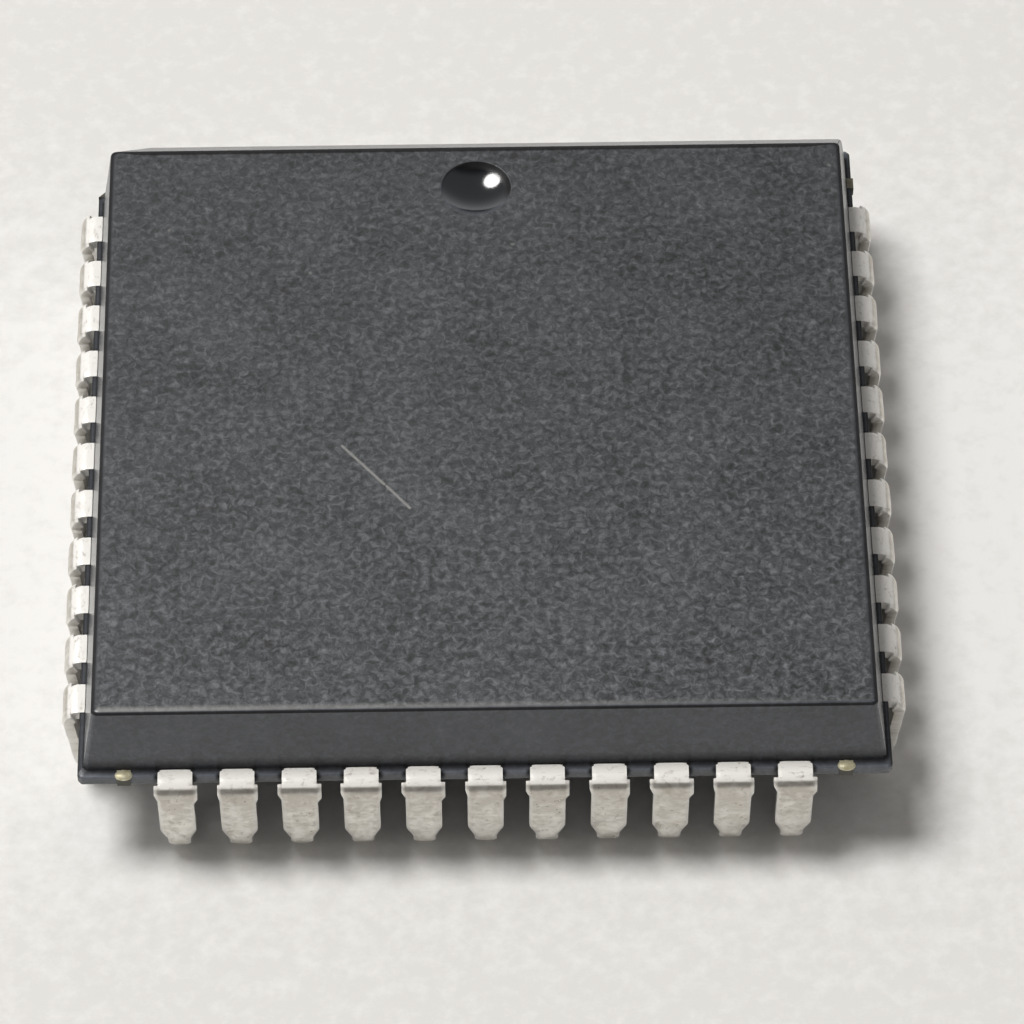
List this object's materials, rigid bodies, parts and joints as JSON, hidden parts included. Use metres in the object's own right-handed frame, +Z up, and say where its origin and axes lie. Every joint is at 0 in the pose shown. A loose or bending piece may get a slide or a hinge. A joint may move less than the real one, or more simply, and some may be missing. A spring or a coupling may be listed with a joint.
{
  "type": "plcc chip",
  "caption": "Square surface-mount chip carrier in dark moulded plastic, with a row of J-shaped tin-plated leads tucked under each side, a bevelled index edge and a round dimple.",
  "frame": {"origin": "centre of the seating plane that the feet of the J-leads touch", "axes": "+Z up out of the top face, +Y towards the bevelled side with the first lead at its middle, +X to the right of that seen from above"},
  "size_m": [0.0174, 0.0174, 0.0045],
  "materials": {
    "mould_compound": "dark grey filled epoxy, fine matte grain on the top, smoother on the walls",
    "lead_plating": "dull tin plate",
    "copper_alloy": "bare copper alloy, sheared at the ends that show",
    "die_glue": "silver-filled glue",
    "silicon": "polished silicon",
    "gold_wire": "drawn gold wire"
  },
  "bodies": {
    "root": {"mould_body": "mould_compound", "lead_01": "lead_plating", "lead_02": "lead_plating", "lead_03": "lead_plating", "lead_04": "lead_plating", "lead_05": "lead_plating", "lead_06": "lead_plating", "lead_07": "lead_plating", "lead_08": "lead_plating", "lead_09": "lead_plating", "lead_10": "lead_plating", "lead_11": "lead_plating", "lead_12": "lead_plating", "lead_13": "lead_plating", "lead_14": "lead_plating", "lead_15": "lead_plating", "lead_16": "lead_plating", "lead_17": "lead_plating", "lead_18": "lead_plating", "lead_19": "lead_plating", "lead_20": "lead_plating", "lead_21": "lead_plating", "lead_22": "lead_plating", "lead_23": "lead_plating", "lead_24": "lead_plating", "lead_25": "lead_plating", "lead_26": "lead_plating", "lead_27": "lead_plating", "lead_28": "lead_plating", "lead_29": "lead_plating", "lead_30": "lead_plating", "lead_31": "lead_plating", "lead_32": "lead_plating", "lead_33": "lead_plating", "lead_34": "lead_plating", "lead_35": "lead_plating", "lead_36": "lead_plating", "lead_37": "lead_plating", "lead_38": "lead_plating", "lead_39": "lead_plating", "lead_40": "lead_plating", "lead_41": "lead_plating", "lead_42": "lead_plating", "lead_43": "lead_plating", "lead_44": "lead_plating", "die_paddle": "copper_alloy", "die_attach": "die_glue", "die": "silicon", "bond_wires_back": "gold_wire", "bond_wires_left": "gold_wire", "bond_wires_front": "gold_wire", "bond_wires_right": "gold_wire"}
  },
  "joints": []
}
